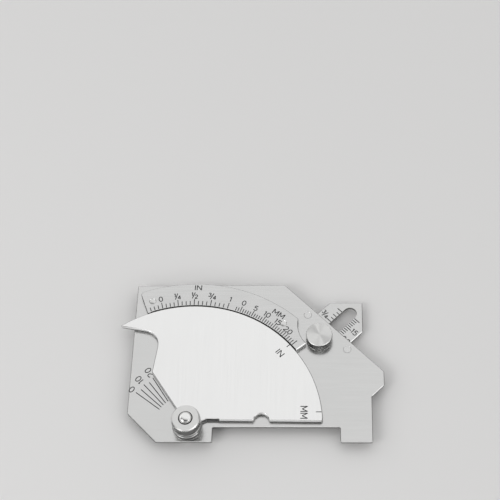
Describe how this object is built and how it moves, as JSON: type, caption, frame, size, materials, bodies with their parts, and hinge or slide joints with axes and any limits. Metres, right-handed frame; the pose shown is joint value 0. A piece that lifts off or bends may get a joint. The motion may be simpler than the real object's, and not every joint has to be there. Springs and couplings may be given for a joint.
{
  "type": "weld gauge",
  "caption": "Flat stainless weld gauge: a pivoting cam with a pointed beak reads heights and bevel angles on a footed plate, and a sliding pointer reads throat size.",
  "frame": {"origin": "on the cam's pivot axis, at the rear face of the pivot screw's head, where the gauge rests on its back", "axes": "+X along the line of the feet towards the right foot, +Y from the feet to the top edge, +Z out of the engraved face"},
  "size_m": [0.1058, 0.0698, 0.0138],
  "materials": {
    "body_steel": "satin stainless sheet with bright chamfered edges and black-filled engraving",
    "scale_steel": "satin stainless sheet with black-filled graduations",
    "cam_steel": "lighter satin stainless sheet with bright chamfered edges",
    "pointer_steel": "satin stainless sheet with black-filled graduations",
    "turned_steel": "turned and diamond-knurled stainless bar",
    "screw_steel": "polished screw with a domed end",
    "washer_steel": "plain bright washer",
    "bridge_steel": "milled stainless block",
    "rivet_steel": "flush stainless rivets"
  },
  "bodies": {
    "gauge_body": {"body_plate": "body_steel", "arc_scale_plate": "scale_steel", "scale_rivet_left": "rivet_steel", "scale_rivet_right": "rivet_steel", "pivot_screw": "screw_steel", "plain_washer": "washer_steel", "spring_washer": "washer_steel", "guide_bridge": "bridge_steel", "guide_rivet_upper": "rivet_steel", "guide_rivet_lower": "rivet_steel"},
    "cam": {"cam_plate": "cam_steel"},
    "nut": {"thumb_nut": "turned_steel"},
    "pointer": {"throat_pointer": "pointer_steel"},
    "clamp": {"clamp_screw": "turned_steel"}
  },
  "joints": [
    {"name": "cam_turn", "type": "hinge", "parent": "gauge_body", "child": "cam", "pos_m": [0, 0, 0.0055], "axis": [0, 0, 1], "continuous": true},
    {"name": "nut_turn", "type": "hinge", "parent": "gauge_body", "child": "nut", "pos_m": [0, 0, 0.0102], "axis": [0, 0, 1], "range_deg": [0, 360]},
    {"name": "pointer_slide", "type": "slide", "parent": "gauge_body", "child": "pointer", "axis": [0.7071, 0.7071, 0], "range_m": [-0.0182, 0.0184]},
    {"name": "clamp_turn", "type": "hinge", "parent": "gauge_body", "child": "clamp", "pos_m": [0.05109, 0.03815, 0.0065], "axis": [0, 0, 1], "range_deg": [0, 360]}
  ]
}
